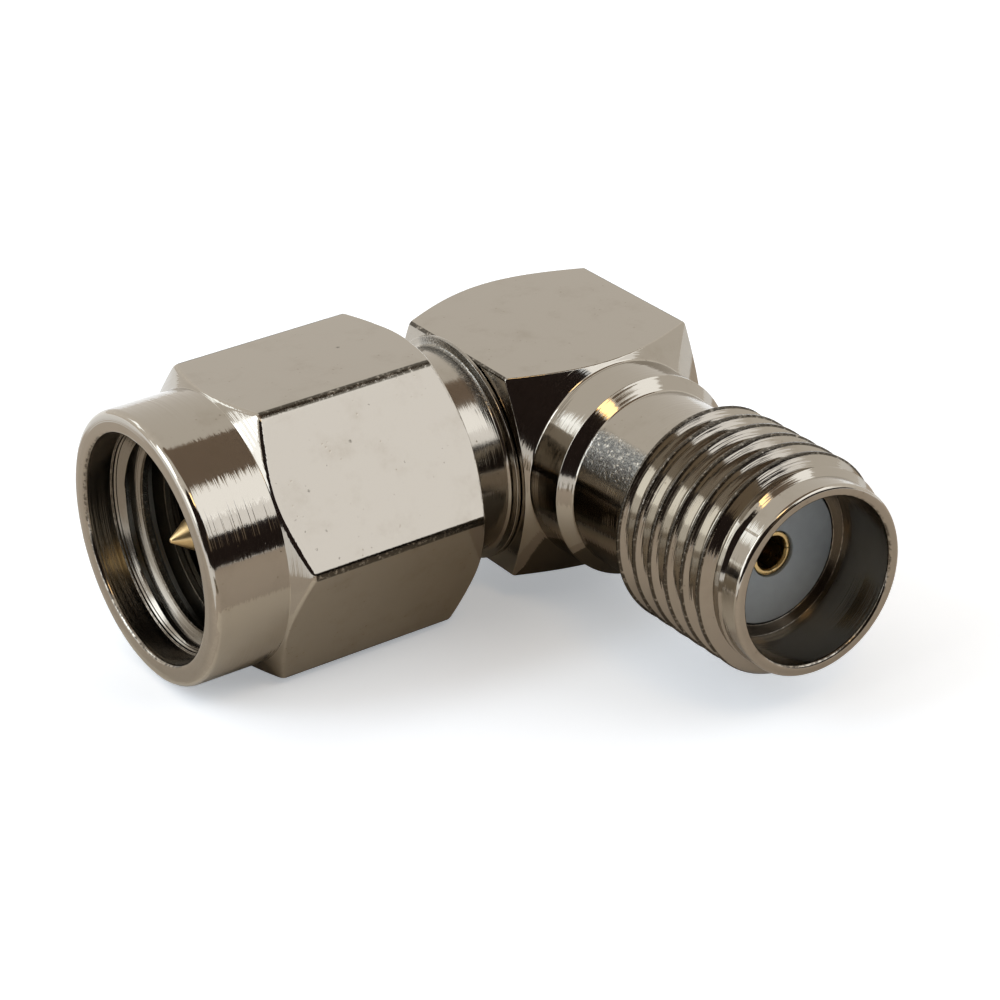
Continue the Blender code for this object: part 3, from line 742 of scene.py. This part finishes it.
# Rear cap: a thin turned disc, pressed into the block behind the jack after the contacts were
# joined. It has the block's nickel plate.
CAP_RADIUS, CAP_OUTSIDE, CAP_INSIDE = 2.3, -3.25, -2.73
cap_corners = [(0, CAP_OUTSIDE, 0), (CAP_RADIUS, CAP_OUTSIDE, 0.1), (CAP_RADIUS, CAP_INSIDE, 0),
               (0, CAP_INSIDE, 0)]
cap = mesh_object("pressed_cap", spun("jack", round_columns(), lambda limit: cap_corners))
finish_piece(cap, block_nickel, "adapter", "rear_cap")

# Plug's outer conductor: a turned nickel-plated tube with a seat flange, pressed into the block's
# side. The nut's spring ring runs in its groove.
shell_nickel = plate("shell_nickel", "plug", NICKEL, NICKEL_STAIN, 0.09, 7e-6, 2e-6,
                     rough_patch=(3.1, 3.7, -50, 30))
SHELL_RADIUS, SHELL_SHOULDER, TUBE_RADIUS, PLUG_FACE = 3.0, 7.65, 2.28, 10.3
SPIGOT_RADIUS, SPIGOT_END, FLANGE_RADIUS, FLANGE_LOW, FLANGE_HIGH = 2.6, 2.25, 3.3, 3.13, 3.25
GROOVE_RADIUS, GROOVE_LOW, GROOVE_HIGH = 2.69, 5.9, 6.7
shell_corners = [
    (DIELECTRIC_RADIUS, SPIGOT_END, 0),
    (SPIGOT_RADIUS, SPIGOT_END, 0),
    (SPIGOT_RADIUS, FLANGE_LOW, 0),
    (FLANGE_RADIUS, FLANGE_LOW, 0.03),
    (FLANGE_RADIUS, FLANGE_HIGH, 0.03),
    (SHELL_RADIUS, FLANGE_HIGH, 0.18),
    (SHELL_RADIUS, GROOVE_LOW, 0.02),
    (GROOVE_RADIUS, GROOVE_LOW, 0),
    (GROOVE_RADIUS, GROOVE_HIGH, 0),
    (SHELL_RADIUS, GROOVE_HIGH, 0.02),
    (SHELL_RADIUS, SHELL_SHOULDER, 0.1),
    (TUBE_RADIUS, SHELL_SHOULDER, 0),
    (TUBE_RADIUS, PLUG_FACE, 0.1),
    (DIELECTRIC_RADIUS, PLUG_FACE, 0.02),
]
shell = mesh_object("outer_conductor", spun("plug", round_columns(), lambda limit: shell_corners))
finish_piece(shell, shell_nickel, "adapter", "male_shell")

# Coupling nut: hexagonal bar with its corners turned off, a turned collar, and a thread inside
# that takes the mating jack. Bright nickel plate, held by the spring ring.
NUT_WIDTH, NUT_EDGE, NUT_TURN, NUT_STEPS, NUT_SLOPE, NUT_RIM = 8.0, 0.29, 2.2, 22, 31, 3.98
NUT_REAR, HEX_FRONT, NUT_FRONT, COLLAR_RADIUS = 4.81, 10.99, 13.33, 3.94
NUT_MOUTH, NUT_MOUTH_FLOOR, ENTRY_RADIUS, ENTRY = 3.29, 12.49, 3.23, 12.42
NUT_THREAD_OUTER, NUT_THREAD_DEPTH, NUT_THREAD_LOW = 3.19, 0.35, 8.75
NUT_BORE, NUT_RELIEF, NUT_RELIEF_LOW = 3.06, 3.25, 7.25
NUT_GROOVE, NUT_GROOVE_LOW, NUT_GROOVE_HIGH = 3.45, 6.02, 6.58
nut_nickel = plate("nut_nickel", "plug", NICKEL, NICKEL_STAIN, 0.03, 8e-6, 2e-6,
                   bore=NUT_MOUTH, deep=11.75,
                   nicks=((5, 6.6, 4.0, 0.1), (315, 8.3, 4.1, 0.09), (286, 9.85, 4.17, 0.07),
                          (302, 9.95, 4.0, 0.08), (301, 6.95, 4.0, 0.06), (273, 9.5, 4.58, 0.07),
                          (276, 9.75, 4.45, 0.06), (281, 10.3, 4.3, 0.065),
                          (288, 10.45, 4.13, 0.06), (293, 10.6, 4.05, 0.055),
                          (280, 8.6, 4.33, 0.05), (309, 9.2, 4.03, 0.05),
                          (296, 5.8, 4.02, 0.05), (325, 7.4, 4.34, 0.06)))


def nut_corners(limit):
    """The nut's outline where the hexagonal bar ends at this distance."""
    slope = math.tan(math.radians(NUT_SLOPE))
    drop = (limit - NUT_RIM) * slope
    return [
        (NUT_BORE, NUT_REAR, 0.06),
        (NUT_RIM, NUT_REAR, 0.05),
        (limit, NUT_REAR + drop, 0.1),
        (limit, HEX_FRONT - drop, 0.2),
        (COLLAR_RADIUS, HEX_FRONT + 0.06 * slope, 0.03),
        (COLLAR_RADIUS, NUT_FRONT, 0.22),
        (NUT_MOUTH, NUT_FRONT, 0.12),
        (NUT_MOUTH, NUT_MOUTH_FLOOR, 0.02),
        (ENTRY_RADIUS, NUT_MOUTH_FLOOR, 0.02),
        (ENTRY_RADIUS, ENTRY, 0.02),
        (NUT_THREAD_OUTER, ENTRY - 0.04, 0.01),
        (NUT_THREAD_OUTER, NUT_THREAD_LOW, 0.01),
        (NUT_RELIEF, NUT_THREAD_LOW, 0),
        (NUT_RELIEF, NUT_RELIEF_LOW, 0),
        (NUT_BORE, NUT_RELIEF_LOW, 0),
        (NUT_BORE, NUT_GROOVE_HIGH, 0),
        (NUT_GROOVE, NUT_GROOVE_HIGH, 0),
        (NUT_GROOVE, NUT_GROOVE_LOW, 0),
        (NUT_BORE, NUT_GROOVE_LOW, 0),
    ]


nut_columns = bar_columns(6, NUT_WIDTH, NUT_EDGE, math.radians(NUT_TURN), NUT_STEPS)
nut = mesh_object("nut", spun("plug", nut_columns, nut_corners))
flank = NUT_THREAD_DEPTH * math.tan(math.radians(FLANK_ANGLE))
nut_crest = PITCH - 2 * flank - THREAD_CREST
add_thread(nut, "plug", nut_nickel, {
    "Crest Radius": NUT_THREAD_OUTER - NUT_THREAD_DEPTH, "Depth": NUT_THREAD_DEPTH + OVERLAP,
    "Crest Width": nut_crest, "Base Width": nut_crest + 2 * flank + FOOT_EXTRA,
    "Low End": NUT_THREAD_LOW, "High End": ENTRY - 0.04,
    "Low Radius": NUT_THREAD_OUTER + OVERLAP, "High Radius": NUT_THREAD_OUTER + OVERLAP,
    "High Slope": 1.0,
    "Start Height": NUT_THREAD_LOW - 2 * PITCH + flank + THREAD_CREST / 2 + PITCH / 2,
    "Side": -1.0})
finish_piece(nut, nut_nickel, "nut", "coupling_nut")

# Spring ring: bare bronze, split on one side, half in the shell's groove and half in the nut's.
# It hides inside the nut, so its solid shows as it is.
ring_bronze = plate("ring_bronze", "plug", (0.55, 0.36, 0.2), (0.25, 0.14, 0.07), 0.25, 5e-7,
                    2e-6)
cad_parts["retaining_ring"].data.materials[0] = ring_bronze

# Gasket: a moulded ring of soft red-brown silicone on the plug's shoulder, squeezed by the mouth
# of a mated jack. It has moulded, slightly rounded corners and a dusty skin.


def matt(name, colour, shade, roughness, grain_size, bump):
    """Silicone or PTFE: an uneven colour, a fine skin and a soft gloss."""
    made = bpy.data.materials.new(name)
    made.use_nodes = True
    tree = made.node_tree
    nodes = tree.nodes
    shader = nodes["Principled BSDF"]
    spot = nodes.new("ShaderNodeTexCoord")
    cloud = nodes.new("ShaderNodeTexNoise")
    cloud.inputs["Scale"].default_value = grain_size
    cloud.inputs["Detail"].default_value = 5
    wire(tree, spot, "Object", cloud, "Vector")
    tone = nodes.new("ShaderNodeMixRGB")
    tone.inputs["Color1"].default_value = (*colour, 1)
    tone.inputs["Color2"].default_value = (*shade, 1)
    wire(tree, cloud, "Fac", tone, "Fac")
    wire(tree, tone, 0, shader, "Base Color")
    rough = number_node(tree, "ADD", roughness,
                        number_node(tree, "MULTIPLY", (cloud, "Fac"), 0.12))
    wire(tree, *rough, shader, "Roughness")
    skin = nodes.new("ShaderNodeBump")
    skin.inputs["Distance"].default_value = bump
    wire(tree, cloud, "Fac", skin, "Height")
    wire(tree, skin, 0, shader, "Normal")
    return made


silicone = matt("red_silicone", (0.55, 0.1, 0.06), (0.4, 0.07, 0.04), 0.5, 2500, 2e-6)
GASKET_INNER, GASKET_OUTER, GASKET_LOW, GASKET_HIGH = 2.31, 2.95, 7.68, 8.48
gasket_corners = [(GASKET_INNER, GASKET_LOW, 0.03), (GASKET_OUTER, GASKET_LOW, 0.1),
                  (GASKET_OUTER, GASKET_HIGH, 0.1), (GASKET_INNER, GASKET_HIGH, 0.03)]
gasket = mesh_object("sealing_ring", spun("plug", round_columns(96), lambda limit: gasket_corners))
finish_piece(gasket, silicone, "adapter", "gasket")

# Insulators: white PTFE tubes, turned from rod and pressed in around the contacts, flush with the
# rings where the two halves of the line meet.
# The white PTFE gets a dark blue-grey colour: painted shade, as it looks in the shade of the
# bores.
ptfe = matt("white_ptfe", (0.34, 0.37, 0.385), (0.28, 0.305, 0.32), 0.45, 3000, 1.5e-6)
TUBE_INNER, TUBE_OUTER = 0.665, 2.02
for port, low, high, name, node in (
        ("jack", 2.08, SEAT_HEIGHT, "jack_insulator", "female_insulator"),
        ("plug", 2.25, PLUG_FACE, "plug_insulator", "male_insulator")):
    tube_corners = [(TUBE_INNER, low, 0), (TUBE_OUTER, low, 0), (TUBE_OUTER, high, 0.04),
                    (TUBE_INNER, high, 0.03)]
    tube = mesh_object(name, spun(port, round_columns(), lambda limit: tube_corners))
    finish_piece(tube, ptfe, "adapter", node)

# Centre pin of the plug: turned bronze with gold plate, a cone point in front and a cross hole at
# the inner end that takes the socket's tail.
PIN_GOLD, GOLD_SHADE = (0.66, 0.48, 0.24), (0.55, 0.4, 0.18)
pin_gold = plate("pin_gold", "plug", PIN_GOLD, GOLD_SHADE, 0.26, 1e-6, 2e-6)
CONTACT_RADIUS, PIN_SHOULDER, PIN_RADIUS, POINT_START, POINT_RADIUS, POINT_END = (
    0.635, 10.25, 0.46, 11.83, 0.06, 12.45)
pin_corners = [(0, -CONTACT_RADIUS, 0), (CONTACT_RADIUS, -CONTACT_RADIUS, 0.03),
               (CONTACT_RADIUS, PIN_SHOULDER, 0.04), (PIN_RADIUS, PIN_SHOULDER, 0.02),
               (PIN_RADIUS, POINT_START, 0.15), (POINT_RADIUS, POINT_END, 0.05),
               (0, POINT_END, 0)]
pin = mesh_object("pin", spun("plug", round_columns(72), lambda limit: pin_corners))
CROSS_RADIUS, CROSS_REACH = 0.43, 1.3
cross_corners = [(0, -CROSS_REACH, 0), (CROSS_RADIUS, -CROSS_REACH, 0),
                 (CROSS_RADIUS, CROSS_REACH, 0), (0, CROSS_REACH, 0)]
cut(pin, mesh_object("cross_hole", spun("jack", round_columns(48), lambda limit: cross_corners)))
finish_piece(pin, pin_gold, "adapter", "centre_pin")

# Socket of the jack: turned bronze with gold plate, slotted in front so that its fingers grip the
# mating pin, with a tail soldered through the pin's cross hole.
TAIL_RADIUS, TAIL_END, SOCKET_REAR, SOCKET_FRONT = 0.4, -0.95, 0.695, 10.6
LIP_RADIUS, LIP_FLOOR, SOCKET_BORE, BORE_FLOOR, DRILL_POINT = 0.51, 10.52, 0.47, 7.9, 7.43
SOCKET_GOLD = (0.78, 0.61, 0.31)
socket_gold = plate("socket_gold", "jack", SOCKET_GOLD, GOLD_SHADE, 0.12, 6e-7, 2e-6,
                    bore=SOCKET_BORE)
socket_corners = [(0, TAIL_END, 0), (TAIL_RADIUS, TAIL_END, 0.04), (TAIL_RADIUS, SOCKET_REAR, 0),
                  (CONTACT_RADIUS, SOCKET_REAR, 0.03), (CONTACT_RADIUS, SOCKET_FRONT, 0.04),
                  (LIP_RADIUS, SOCKET_FRONT, 0.03), (SOCKET_BORE, LIP_FLOOR, 0.03),
                  (SOCKET_BORE, BORE_FLOOR, 0), (0, DRILL_POINT, 0)]
socket = mesh_object("socket", spun("jack", round_columns(72), lambda limit: socket_corners))
SLOT_WIDTH, SLOT_SPAN, SLOT_LENGTH = 0.03, 2.54, 3.8
slots = bmesh.new()
for wide, tall in ((SLOT_SPAN, SLOT_WIDTH), (SLOT_WIDTH, SLOT_SPAN)):
    bmesh.ops.create_cube(slots, size=1, matrix=Matrix.Translation(
        laid("jack", 0, 0, SOCKET_FRONT)) @ Matrix.Diagonal(
            (wide * MM, SLOT_LENGTH * MM, tall * MM, 1)))
cut(socket, mesh_object("slots", slots), use_self=True)
finish_piece(socket, socket_gold, "adapter", "socket_contact")
